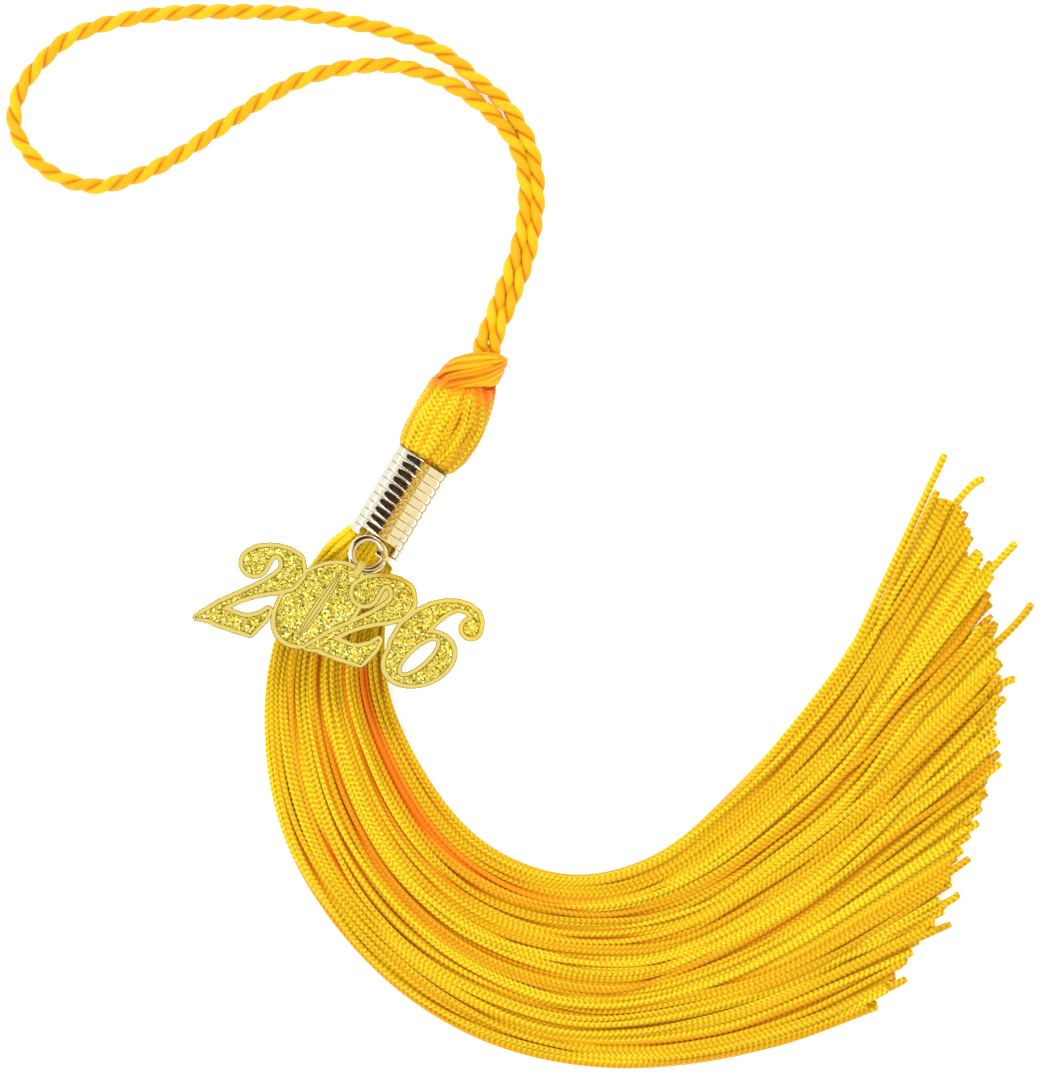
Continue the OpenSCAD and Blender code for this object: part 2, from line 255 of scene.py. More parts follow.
def metal_material(name, colour, roughness, wear, wall_shade=None):
    """Polished plate, with painted shade in its seams. The side walls of a stamped part may get a painted
    shade colour, stronger as they turn from up.
    """
    n = Nodes(name)
    place = n.place()
    scratch = n.noise(n.stretched(place, (900.0, 5200.0, 2100.0)), 1.0, 3.0)
    patch = n.noise(place, 420.0, 2.0)
    worn = tuple(c * WORN for c in colour[:3]) + (1,)
    finish = n.mix(n.spread(patch, 0.45, 0.75, 0.0, wear), colour, worn)
    if wall_shade:
        # Painted shade down the side walls, darker as their normal turns away from up
        up = n.add("SeparateXYZ", {0: n.add("TexCoord").outputs["Normal"]}).outputs["Z"]
        finish = n.mix(n.spread(up, 0.55, 0.97, 1.0, 0.0), finish, wall_shade)
    # Painted shade in the seams, where deep is above 0
    finish = n.mix(n.spread(n.attribute("deep"), 0.0, 1.0), finish, SEAM_SHADE)
    n.set(Metallic=1.0)
    n.connect(Base_Color=finish, Normal=n.bump(scratch, 0.00002, 0.12))
    n.connect(Roughness=n.spread(scratch, 0.35, 0.75, roughness, roughness + 0.12))
    return n.material


def glitter_material(name, flakes):
    """Gold glitter: flakes each have their own tone, and the resin under them shows a finer grain."""
    n = Nodes(name)
    tone = n.attribute("strand")
    if not flakes:
        cells = n.add("TexVoronoi", {"Vector": n.place(), "Scale": 2600.0})
        tone = n.add("SeparateColor", {0: cells.outputs["Color"]}).outputs[0]
    ramp = n.add("ValToRGB", {"Fac": tone})
    ramp.color_ramp.interpolation = "CONSTANT"
    tones = [(0.0, (0.90, 0.70, 0.07)), (0.30, (0.50, 0.38, 0.02)), (0.56, (1.0, 0.86, 0.17)),
             (0.74, (0.25, 0.18, 0.01)), (0.90, (1.0, 0.95, 0.50)), (0.96, (0.92, 0.62, 0.18))]
    marks = ramp.color_ramp.elements
    while len(marks) < len(tones):
        marks.new(0.5)
    for mark, (where, colour) in zip(marks, tones):
        mark.position = where
        mark.color = (*colour, 1)
    grain = n.noise(n.place(), 5200.0, 1.0)
    n.connect(Base_Color=ramp.outputs["Color"], Roughness=n.spread(grain, 0.3, 0.7, 0.16, 0.38))
    n.connect(Normal=n.bump(grain, 0.00004, 0.25))
    n.set(Metallic=0.9, Coat_Weight=0.25)
    return n.material


def thread_material():
    """Plain sewing thread, wound in fine turns."""
    n = Nodes("thread")
    turns = n.add("TexWave", {"Vector": n.place(), "Scale": 900.0, "Distortion": 1.5})
    # Painted shade in the grooves between the turns: darker where the bump is low
    colour = n.mix(turns.outputs["Fac"], (0.62, 0.36, 0.02, 1), (0.85, 0.55, 0.05, 1))
    n.connect(Base_Color=colour, Normal=n.bump(turns.outputs["Fac"], 0.0002, 0.6))
    n.set(Roughness=0.7, Sheen_Weight=0.2)
    return n.material


chain_yarn = yarn_material("chain_yarn", True)
cord_yarn = yarn_material("cord_yarn", False, 0.36)
band_metal = metal_material("band_metal", (0.98, 0.90, 0.74, 1), 0.05, 0.3)
ring_metal = metal_material("ring_metal", (0.96, 0.91, 0.80, 1), 0.07, 0.3)
# The charm gets painted shade down its side walls, and its rim edges get beads of painted shade
charm_metal = metal_material("charm_metal", (1.0, 0.80, 0.20, 1), 0.16, 0.2, WALL_SHADE)
charm_edge_shade = metal_material("charm_edge_shade", WALL_SHADE, 0.3, 0.2)
glitter_base = glitter_material("glitter_base", False)
glitter_flake = glitter_material("glitter_flake", True)
thread = thread_material()

# Meshes -----------------------------------------------------------------------------------------


def frames(points):
    """Unit vectors to the right of a line and up from it, at each of its points."""
    along = np.gradient(points, axis=0)
    along /= np.linalg.norm(along, axis=1, keepdims=True)
    right = np.cross(along, (0, 0, 1))
    right /= np.linalg.norm(right, axis=1, keepdims=True)
    return right, np.cross(right, along)


class Bundle:
    """Tubes gathered into one mesh, each with what the yarn's material reads."""

    def __init__(self):
        self.points, self.quads, self.triangles = [], [], []
        self.values = {"strand": [], "deep": [], "stitch": [], "wale": [], "fibre": []}
        self.count = 0

    def tube(self, rings, **values):
        """Rings of points, each ring anticlockwise seen against the tube's direction."""
        steps, sides = rings.shape[:2]
        grid = self.count + np.arange(steps * sides).reshape(steps, sides)
        on = np.roll(grid, -1, axis=1)
        self.quads.append(np.stack([grid[:-1], on[:-1], on[1:], grid[1:]], axis=-1).reshape(-1, 4))
        ends = self.count + steps * sides
        first = np.stack([on[0], grid[0], np.full(sides, ends)], axis=-1)
        last = np.stack([grid[-1], on[-1], np.full(sides, ends + 1)], axis=-1)
        self.triangles += [first, last]
        self.points.append(np.concatenate([rings.reshape(-1, 3), [rings[0].mean(0), rings[-1].mean(0)]]))
        for name, kept in self.values.items():
            size = 3 if name == "fibre" else 1
            value = np.broadcast_to(values.get(name, 0.0), (steps, sides, size)).reshape(-1, size)
            kept.append(np.concatenate([value, value[:1], value[-1:]]))
        self.count += steps * sides + 2

    def mesh(self, name, material):
        quads, triangles = np.concatenate(self.quads), np.concatenate(self.triangles)
        me = bpy.data.meshes.new(name)
        me.vertices.add(self.count)
        me.vertices.foreach_set("co", (np.concatenate(self.points) * MM).astype(np.float32).ravel())
        corners = np.concatenate([quads.ravel(), triangles.ravel()])
        sizes = np.concatenate([np.full(len(quads), 4), np.full(len(triangles), 3)])
        me.loops.add(len(corners))
        me.loops.foreach_set("vertex_index", corners.astype(np.int32))
        me.polygons.add(len(sizes))
        me.polygons.foreach_set("loop_start", np.concatenate([[0], np.cumsum(sizes)[:-1]]).astype(np.int32))
        me.polygons.foreach_set("use_smooth", np.ones(len(sizes), bool))
        me.update(calc_edges=True)
        for key, kept in self.values.items():
            kind = "FLOAT_VECTOR" if key == "fibre" else "FLOAT"
            layer = me.attributes.new(key, kind, "POINT")
            data = np.concatenate(kept).astype(np.float32).ravel()
            layer.data.foreach_set("vector" if key == "fibre" else "value", data)
        me.materials.append(material)
        piece = bpy.data.objects.new(name, me)
        scene.collection.objects.link(piece)
        return piece


# Length of a stitch, and distances between rings where a strand shows and where it is buried
STITCH = 1.0
FINE_STEP = STITCH / 3
COARSE_STEP = STITCH * 1.5
# Strands less open than this are drawn as buried
SHOWING = 0.15
SIDES = 10
# How fine the filaments of smooth yarn are
GRAIN = 2.6


def chain_strand(bundle, line, radius, exposed, rng, deep=0.0, tone=None):
    """One strand of knitted chain yarn: fine rings where it shows, and coarse ones where it is buried."""
    along = lengths(line)
    where, s = [], 0.0
    while s < along[-1]:
        where.append(s)
        s += FINE_STEP if np.interp(s, along, exposed) > SHOWING else COARSE_STEP
    where = np.array(where)
    path = at_lengths(line, where)
    right, up = frames(path)
    angle = np.arange(SIDES) * TURN / SIDES
    roll = rng.uniform(0, TURN) + where * rng.normal(0, 0.02)
    wale = np.abs(2 * ((angle / math.pi) % 1) - 1)[None, :]
    stitch = (where / STITCH + rng.uniform())[:, None]
    ridge = 0.5 + 0.5 * np.cos(TURN * (stitch - SLANT * wale))
    seen = np.interp(where, along, exposed)[:, None]
    girth = np.interp(where, along, np.broadcast_to(radius, along.shape))[:, None]
    relief = 1.05 - 0.26 * (1 - ridge) * (0.45 + 0.55 * np.abs(2 * wale - 1))
    r = girth * np.where(seen > SHOWING, relief, 0.95)
    rounded_tip = smooth(along[-1] - where, 0, 0.5)[:, None]
    r = r * (0.55 + 0.45 * rounded_tip)
    turned = angle[None, :] + roll[:, None]
    rings = path[:, None] + r[..., None] * (
        np.cos(turned)[..., None] * right[:, None] + np.sin(turned)[..., None] * up[:, None])
    depth = np.interp(where, along, np.broadcast_to(deep, along.shape))
    fibre = np.broadcast_arrays(np.cos(angle)[None], np.sin(angle)[None], where[:, None])
    bundle.tube(rings, strand=rng.uniform() if tone is None else tone, deep=depth[:, None, None],
                stitch=stitch[..., None], wale=wale[..., None], fibre=np.stack(fibre, axis=-1))


def smooth_strand(bundle, line, radius, sides, deep, tone, squeeze=1.0, roll=None):
    """One strand of smooth filaments. Radius may change along it; squeeze is its height over its width."""
    right, up = frames(line)
    along = lengths(line)
    angle = np.arange(sides) * TURN / sides
    radius = np.broadcast_to(radius, along.shape)[:, None]
    roll = np.zeros(len(line)) if roll is None else roll
    flat_right, flat_up = radius * np.cos(angle)[None], radius * squeeze * np.sin(angle)[None]
    c, s = np.cos(roll)[:, None], np.sin(roll)[:, None]
    rings = line[:, None] + (flat_right * c - flat_up * s)[..., None] * right[:, None] \
        + (flat_right * s + flat_up * c)[..., None] * up[:, None]
    round_x, round_y = GRAIN * np.cos(angle)[None], GRAIN * np.sin(angle)[None]
    fibre = np.broadcast_arrays(round_x, round_y, along[:, None] / 4)
    bundle.tube(rings, strand=tone, deep=np.broadcast_to(deep, (len(line), sides))[..., None],
                fibre=np.stack(fibre, axis=-1))


# Cord -------------------------------------------------------------------------------------------

# The route's own points, within a millimetre of part.scad's
CORD_ROUTE = [
    [-20.9, 68.2, 4.6], [-19.1, 72.2, 3.4], [-17.3, 76.5, 2.2], [-15.8, 80.5, 1.7], [-14.7, 85, 1.5],
    [-13.9, 90.5, 1.5], [-14, 96, 1.5], [-15.2, 101.4, 1.5], [-17.6, 106.1, 1.5], [-20.8, 109.9, 1.5],
    [-25, 113.3, 1.5], [-30, 117.5, 1.5], [-37, 120.8, 1.5], [-46, 123.2, 1.5], [-57, 125, 1.5],
    [-68, 125.4, 1.5], [-79, 125.2, 1.5], [-89, 123.8, 1.5], [-97.5, 121, 1.5], [-103.5, 116, 1.5],
    [-107.2, 110.5, 1.5], [-107.8, 104.5, 1.5], [-104.5, 99, 1.5], [-99.5, 95.5, 1.5], [-93, 94, 1.5],
    [-86, 95.8, 1.5], [-78.5, 99.5, 1.5], [-71, 104.5, 1.5], [-63.5, 109.5, 1.5], [-55.5, 113.5, 1.5],
    [-47, 115.5, 1.5], [-39, 115.6, 1.5], [-31.5, 113.3, 1.5], [-25.5, 109.8, 1.5], [-20.2, 105, 1.5],
    [-17.2, 100, 1.5], [-16.0, 94.5, 1.5], [-16.15, 89, 1.5], [-17.25, 83.5, 1.6], [-18.9, 78.5, 2.1],
    [-20.9, 73.5, 3.4], [-23.0, 68, 4.6]]
# Where the two ends run on into the knot
ENDS_IN = [[-22.0, 63.4, 5.4], [-21.5, 65.6, 5.1]]
ENDS_OUT = [[-24.1, 65.6, 5.1], [-23.4, 63.4, 5.4]]
# The two plies: their radius, how far each lies from the cord's middle, and their turns along the cord
PLY_R = 0.88
PLY_OFFSET = 0.62
PLY_TURNS = 35.62
PLY_SIDES = 16
PLY_SQUEEZE = 1.08
CORD_STEP = 0.45


def make_cord():
    """Two plies wound round each other along the route, with painted shade where they touch."""
    line = curve_through(ENDS_IN + CORD_ROUTE + ENDS_OUT, 1500)
    path = at_lengths(line, np.arange(0, lengths(line)[-1], CORD_STEP))
    right, up = frames(path)
    bundle = Bundle()
    twist = TURN * PLY_TURNS * lengths(path) / lengths(path)[-1]
    # Painted shade on the side of each ply that faces the other
    inner = 0.55 * smooth(-np.cos(np.arange(PLY_SIDES) * TURN / PLY_SIDES), -0.8, 0.6)[None, :]
    for ply in range(2):
        turn = (twist + ply * math.pi)[:, None]
        centre = path + PLY_OFFSET * (np.cos(turn) * right + np.sin(turn) * up)
        smooth_strand(bundle, centre, PLY_R, PLY_SIDES, inner, 0.2 + 0.3 * ply, PLY_SQUEEZE, turn[:, 0])
    piece = bundle.mesh("hanging_cord", cord_yarn)
    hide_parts("cord_loop")
    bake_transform(piece)


make_cord()

# Skirt ------------------------------------------------------------------------------------------

LOCK_START_A = 25.0
# Lines along the skirt's outer edge, its middle and its inner edge, within a millimetre of part.scad's
OUTER_EDGE = [
    band_xy(LOCK_START_A, -8.1), [-61.3, 12], [-62.9, -5.6], [-59.4, -23.3], [-50.3, -38.8],
    [-37.5, -51.6], [-22, -60.2], [-4.5, -64.2], [13, -63.9], [30.5, -60.2], [47, -54.2]]
MIDDLE_LINE = [
    band_xy(LOCK_START_A, -0.4), [-52, 7.5], [-49, -10], [-41.5, -26], [-29, -38.5],
    [-13, -45.5], [5, -47], [21.5, -41], [37, -32], [51, -20.5], [64.5, -9]]
INNER_EDGE = [
    band_xy(LOCK_START_A, 6.9), [-40.9, 4.2], [-34.3, -11.2], [-23.4, -24.2], [-7.5, -30.2],
    [8.5, -26], [21.5, -14.5], [33, -1.5], [43, 12], [51, 27.5], [57.5, 41]]
# Where the innermost loose strand leaves the skirt, apart from its neighbours
APART = [57.0, 40.5]
# Where the loose strands leave the skirt, and their tips
LOOSE_ENDS = [
    [[69, 12], [75.3, 19.1]], [[66, 23], [72.4, 30]], [[67.2, 2.5], [72.4, 5.3]],
    [APART, [59.6, 46]], [[61.5, 37], [66.6, 41.6]], [[58.5, -35.5], [61.2, -33.3]]]
STRANDS = 145
LOCKS = 10
# Diameter of a strand in the skirt, pressed together in the band, and opened out at its tip
STRAND_D = 1.15
MOUTH_D = 0.76
TIP_D = 1.42
# Radius of all the strands together inside the band
MOUTH_R = 4.5
# How much further the skirt swells on its -b side as it leaves the band
MOUTH_BULGE = 0.72
# Share of its height that the upper half of the skirt keeps under the ring and the charm's loop
LOWERED = 0.56
# Slices that the skirt is laid in, and how far past the skirt's end they run
SLICES = 60
RUN_ON = 1.06
# How strands settle in a slice: pull to their places, fall, and push off each other, at each step
SETTLE_STEPS = 30
PULL = 0.10
FALL = 0.05
PUSH = 0.32
# Slices from inside the band to its mouth, before the skirt's own
BAND_SLICES = [12.0, 15.0, 18.0, 20.0, 22.0]


def skirt_xy(t, w):
    """Places on the skirt: t runs along it from 0 to 1, and w from its outer edge to its inner edge."""
    t, w = np.broadcast_arrays(np.asarray(t, float), np.asarray(w, float))
    edges = (OUTER_EDGE, MIDDLE_LINE, INNER_EDGE)
    outer, middle, inner = (on_curve(line, t.ravel()).reshape(*t.shape, 2) for line in edges)
    w = w[..., None]
    return outer * (1 - w) * (1 - 2 * w) + middle * 4 * w * (1 - w) + inner * w * (2 * w - 1)


def settle(x, z, target, width, d):
    """Lets strands of width d fall and spread side by side between the skirt's edges, without overlap."""
    for _ in range(SETTLE_STEPS):
        x = x + PULL * (target - x)
        z = z - FALL * d
        dx, dz = x[:, None] - x[None], z[:, None] - z[None]
        gap = np.sqrt(dx**2 + dz**2) + 1e-6
        np.fill_diagonal(gap, 10 * d)
        push = np.clip(d - gap, 0, None) / gap * PUSH
        x = x + (push * dx).sum(1)
        z = z + (push * dz).sum(1)
        z = np.maximum(z, d / 2)
        x = np.clip(x, -width / 2 + d / 2, width / 2 - d / 2)
    return x, z


def exposure(x, z, d):
    """How open each strand of a slice is to above and to the sides, from 0 to 1."""
    open_to = np.zeros(len(x))
    for tilt in (-0.9, -0.3, 0.3, 0.9):
        ray = np.array([math.sin(tilt), math.cos(tilt)])
        dx, dz = x[None] - x[:, None], z[None] - z[:, None]
        ahead = dx * ray[0] + dz * ray[1]
        aside = np.abs(dx * ray[1] - dz * ray[0])
        blocked = ((ahead > 0.3 * d) & (aside < 0.45 * d)).any(1)
        open_to += np.where(blocked, 0.0, 0.34)
    return np.clip(open_to, 0, 1)


def wander(rng, count, steps, size):
    """Slow sideways drift of each strand, a sum of a few waves."""
    t = np.linspace(0, 1, steps)[:, None]
    total = np.zeros((steps, count))
    for wave in (1.3, 2.6, 4.7):
        total += np.sin(TURN * (wave * t + rng.uniform(size=count))) * rng.normal(size=count) / wave
    return total * size


def lay_skirt():
    """Paths of all the strands, their width and how open they are at each slice, and their order across."""
    rng = np.random.default_rng(SEED + 1)
    k = np.arange(STRANDS) + 0.5
    r, around = MOUTH_R * np.sqrt(k / STRANDS), k * math.pi * GOLDEN_TURN
    x, z = r * np.cos(around), r * np.sin(around)
    rank = np.argsort(np.argsort(x + rng.normal(0, 0.35, STRANDS))) / (STRANDS - 1)
    lines, girths, opens = [], [], []
    for a in BAND_SLICES:
        spread = 1 + np.where(x < 0, MOUTH_BULGE, 0.1) * smooth(a, 15, 23)
        lowered = z * np.where(z > 0, 1 - (1 - LOWERED) * smooth(a, 14, 19), 1)
        lines.append(np.column_stack([band_xy(np.full(STRANDS, a), x * spread), AXIS_Z + lowered]))
        girths.append(MOUTH_D * (1 + 0.2 * smooth(a, 15, 23)))
        # Past a = 14 every strand counts as at least 0.55 open, which keeps its painted shade light
        opens.append(np.maximum(exposure(x, z, MOUTH_D), 0.55) * (a > 14))
    t = np.linspace(0, RUN_ON, SLICES)
    drift = wander(rng, STRANDS, SLICES, 1.0)
    z = lowered + AXIS_Z
    before = 2 * MOUTH_R
    for step in range(SLICES):
        width = np.linalg.norm(skirt_xy(t[step], 0.0) - skirt_xy(t[step], 1.0))
        d = MOUTH_D + (STRAND_D - MOUTH_D) * float(smooth(t[step], -0.02, 0.28))
        d += (TIP_D - STRAND_D) * float(smooth(t[step], 0.65, 1.0))
        target = (rank - 0.5) * (width - d) + drift[step] * (0.15 + 2.2 * t[step] ** 1.5)
        x, z = settle(x * width / before, z, target, width, d)
        before = width
        lines.append(np.column_stack([skirt_xy(np.full(STRANDS, t[step]), x / width + 0.5), z]))
        girths.append(d)
        opens.append(exposure(x, z, d))
    return np.array(lines), np.array(girths), np.array(opens), rank


def softened(values, passes):
    """Values smoothed along their first axis, with the ends kept."""
    for _ in range(passes):
        inner = 0.25 * values[:-2] + 0.5 * values[1:-1] + 0.25 * values[2:]
        values = np.concatenate([values[:1], inner, values[-1:]])
    return values


# How far the innermost strand stands apart from the others at its tip
GAP = 2.8
# The slice, just short of the skirt's end, in which the loose strands are picked
TIP_SLICE = -6
# How many slices before the last a loose strand leaves the others
LEAVE_SLICES = 14
YARN_LENGTH = 199.0
# How much shorter the strands are cut, from the outer edge of the skirt to the inner
CUT_AT = [0.0, 0.18, 0.35, 0.5, 0.62, 0.72, 0.85, 0.95, 1.0]
CUT = [7.5, 5.0, 3.0, 1.8, 4.0, 5.2, 5.6, 6.5, 7.0]
# How far along the skirt the strands may reach, for the same places
REACH = [RUN_ON, RUN_ON, RUN_ON, RUN_ON, 1.05, 1.043, 1.03, 1.022, 1.015]
# Streaks of painted red shade between clumps of strands near the band: place across the skirt, half width
# and strength
RED_SHADE_LANES = [[0.83, 0.03, 1.0], [0.66, 0.02, 0.65], [0.43, 0.016, 0.6], [0.21, 0.016, 0.5]]


def make_skirt():
    """The skirt's strands gathered in ten locks, and the loose strands beside them."""
    rng = np.random.default_rng(SEED + 2)
    lines, girths, opens, rank = lay_skirt()
    lines, opens = softened(lines, 2), softened(opens, 1)
    tips = lines[TIP_SLICE]
    inner_edge, outer_edge = skirt_xy(1.0, 1.0), skirt_xy(1.0, 0.0)
    outward = (outer_edge - inner_edge) / np.linalg.norm(outer_edge - inner_edge)
    across = (tips[:, :2] - inner_edge) @ outward
    near_tip = np.linspace(0, 1, len(lines))[:, None]
    aside = GAP * smooth(near_tip, 0.76, 0.95) * smooth(across, 14, 0)[None, :]
    loose = {}
    for leave, tip in LOOSE_ENDS:
        distance = np.linalg.norm(tips[:, :2] - np.array(leave), axis=1)
        distance[list(loose)] = math.inf
        nearest = int(np.argmin(distance))
        loose[nearest] = (leave, tip)
        if leave == APART:
            aside[:, nearest] = 0
    lines[..., :2] += aside[..., None] * outward
    bundles = [Bundle() for _ in range(LOCKS)]
    strays = Bundle()
    for i in range(STRANDS):
        line, shown, girth = lines[:, i], opens[:, i], girths.copy()
        uneven = rng.normal(0, 1.5) - 3.5 * rng.uniform() ** 4
        length = YARN_LENGTH - np.interp(rank[i], CUT_AT, CUT) + uneven
        if i in loose:
            leave, tip = loose[i]
            kept = slice(0, len(line) - LEAVE_SLICES)
            z = STRAND_D / 2
            line = np.concatenate([line[kept], [[*leave, z + 0.3]], [[*tip, z]]])
            shown = np.append(shown[kept], [1.0, 1.0])
            girth = np.append(girth[kept], [TIP_D, 1.08 * TIP_D])
            length = math.inf
        steps = 6 * len(line)
        fine = curve_through(line, steps)
        along = lengths(fine)
        reach = math.inf if i in loose else np.interp(rank[i], CUT_AT, REACH) + rng.normal(0, 0.007)
        t = (np.linspace(0, len(line) - 1, steps) - len(BAND_SLICES)) * RUN_ON / (SLICES - 1)
        keep = (along <= length) & (t <= reach)
        u = np.linspace(0, 1, steps)[keep]
        at = np.linspace(0, 1, len(shown))
        seen = np.interp(u, at, shown)
        # Painted shade on strands that are buried, weaker towards the tips
        buried = 0.95 * (0.3 + 0.7 * smooth(u, 0.08, 0.24)) * (1 - 0.9 * smooth(u, 0.72, 0.9))
        # Painted red shade in streaks across the skirt near the band
        lanes = [strong * math.exp(-((rank[i] - middle) / half) ** 2) for middle, half, strong in RED_SHADE_LANES]
        red = max(lanes) * smooth(u, 0.62, 0.3) * smooth(u, 0.1, 0.16)
        # Painted light on the yarn just out of the band's mouth, lifting the shade that the band and charm
        # cast there
        painted_light_at_mouth = smooth(u, 0.17, 0.1)
        bundle = strays if i in loose else bundles[min(int(rank[i] * LOCKS), LOCKS - 1)]
        chain_strand(
            bundle, fine[keep], np.interp(u, at, girth) / 2, seen, rng,
            deep=np.clip((1 - seen) * buried + red, 0, 1) - painted_light_at_mouth,
            tone=np.clip(0.52 + 0.22 * math.sin(TURN * 6.3 * rank[i]) + rng.normal(0, 0.22), 0, 1))
    for number, bundle in enumerate(bundles, 1):
        piece = bundle.mesh(f"skirt_yarn_{number}", chain_yarn)
        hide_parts(f"skirt_lock_{number}")
        if number == LOCKS // 2:
            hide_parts("skirt_root")
        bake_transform(piece)
    piece = strays.mesh("loose_yarn", chain_yarn)
    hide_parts("loose_ends")
    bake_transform(piece)


make_skirt()

# Head -------------------------------------------------------------------------------------------

# The head's sides as the tassel lies, as [a, b] along and across the band
HEAD_LEFT = [[1.5, -4.9], [-0.3, -5.6], [-2.2, -6.0], [-5.1, -6.4], [-10.3, -6.5], [-12.6, -6.4],
             [-15.1, -5.8], [-17.1, -4.7], [-19.3, -3.2], [-21.2, -2.1], [-22.8, -0.8]]
HEAD_RIGHT = [[1.5, 4.9], [-0.7, 5.6], [-3.3, 6.4], [-6.2, 6.7], [-9.2, 6.6], [-13.8, 5.8],
              [-16.5, 4.6], [-18.4, 4.0], [-20.1, 3.5], [-21.7, 3.2], [-22.8, 2.7]]
# Half height of the head, as a share of its half width
HEAD_FLAT = 0.94
# The dimple under the wraps, as [a, b], its depth and its radius
PINCH = (-15.9, 0.1)
PINCH_DEPTH = 1.3
PINCH_R = 2.2
COLUMNS = 44
COLUMN_R = 0.64
COLUMN_STEPS = 90
# Where the columns of stitches start: the column's angle lower down, and its start as [a, angle]
COLUMN_STARTS = [
    [-180, -19.5, -180], [-125, -18.5, -125], [-95, -13.6, -82], [-60, -13.5, -46],
    [-30, -14.8, -25], [0, -15.5, -3], [30, -15.7, 8], [60, -15.8, 20],
    [82, -16.2, 45], [110, -17.4, 88], [140, -19.5, 140], [180, -19.5, 180]]
# The first, middle and last wraps of yarn under the cord, each as [a, angle in degrees]
WRAP_GUIDES = [
    [[-22.4, 110], [-22.6, 60], [-22.3, 5], [-20.9, -42], [-18.6, -78], [-15.5, -105]],
    [[-22.2, 130], [-22.4, 95], [-21.4, 60], [-18.7, 22], [-15.4, -14], [-12.2, -45]],
    [[-19.0, 128], [-20.0, 100], [-19.6, 75], [-18.2, 56], [-16.9, 30], [-15.7, 2]]]
WRAPS = 15
WRAP_R = 0.44
WRAP_STEPS = 90
WRAP_SIDES = 14
# The plain core under the columns: how deep under the skin, and its rings
CORE_DEPTH = 0.75
CORE_RINGS = 60
CORE_SIDES = 48
# The lowest that the head's skin comes
FLOOR_Z = 0.6


def head_section(a):
    """Middle and half width of the head across the band, and its half height, at places a along the band."""
    left = np.interp(-np.asarray(a, float), [-q[0] for q in HEAD_LEFT], [q[1] for q in HEAD_LEFT])
    right = np.interp(-np.asarray(a, float), [-q[0] for q in HEAD_RIGHT], [q[1] for q in HEAD_RIGHT])
    return (left + right) / 2, (right - left) / 2, (right - left) / 2 * HEAD_FLAT


def on_head(a, angle, lift):
    """Points on the head's skin: angle 0 is on top and grows towards +b, lift is the height off the skin."""
    middle, half, tall = head_section(a)
    b = middle + (half + lift) * np.sin(angle)
    z = AXIS_Z + (tall + lift) * np.cos(angle)
    away = np.hypot(np.asarray(a) - PINCH[0], (b - PINCH[1]) * 0.8)
    z = z - PINCH_DEPTH * np.exp(-(away / PINCH_R) ** 2) * (np.cos(angle) > 0)
    return np.column_stack([band_xy(a, b), np.maximum(z, FLOOR_Z)])


def make_head():
    """The head in three pieces: its columns of stitches, its inside, and its wraps."""
    rng = np.random.default_rng(SEED + 3)
    make_columns(rng)
    make_core()
    make_wraps(rng)


def make_columns(rng):
    """Columns of stitches that fan out from under the wraps and go down into the band."""
    skin = Bundle()
    s = np.linspace(0, 1, COLUMN_STEPS)
    starts = np.array(COLUMN_STARTS, float)
    for k in range(COLUMNS):
        angle = 360 * (k + 0.5 + rng.uniform(-0.25, 0.25)) / COLUMNS - 180
        a_top = np.interp(angle, starts[:, 0], starts[:, 1])
        from_angle = math.radians(np.interp(angle, starts[:, 0], starts[:, 2]))
        angle = math.radians(angle)
        a = a_top + (1.2 - a_top) * s ** 1.1
        turn = from_angle + (angle - from_angle) * smooth(s, -0.12, 0.5)
        turn = turn + 0.035 * np.sin(TURN * (s * 1.5 + rng.uniform()))
        lift = -0.45 + 0.10 * rng.normal() + 0.10 * np.sin(TURN * (s * 2 + rng.uniform()))
        lift = lift - 0.8 * smooth(a, -1.2, 0.4)
        # Painted shade near the top of each column, in the dimple under the wraps, with a little random tone
        # added
        deep = np.clip(0.8 * np.exp(-(s / 0.16) ** 2) + 0.02 + 0.25 * rng.uniform() ** 3, 0, 1)
        chain_strand(skin, on_head(a, turn, lift), COLUMN_R, np.ones(COLUMN_STEPS), rng, deep=deep)
    piece = skin.mesh("head_yarn", chain_yarn)
    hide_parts("yarn_head")
    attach(piece, "head")


def make_core():
    """The head's inside, as it shows between the columns."""
    core = Bundle()
    a = np.linspace(1.4, -22.2, CORE_RINGS)
    angle = np.arange(CORE_SIDES) * TURN / CORE_SIDES
    rings = np.stack([on_head(np.full(CORE_SIDES, q), angle, -CORE_DEPTH) for q in a])
    fibre = np.broadcast_arrays(np.cos(angle)[None] * 9, np.sin(angle)[None] * 9, a[:, None])
    # Painted shade over the whole core
    core.tube(rings, strand=0.2, deep=0.9, fibre=np.stack(fibre, axis=-1))
    piece = core.mesh("head_core", cord_yarn)
    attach(piece, "head")


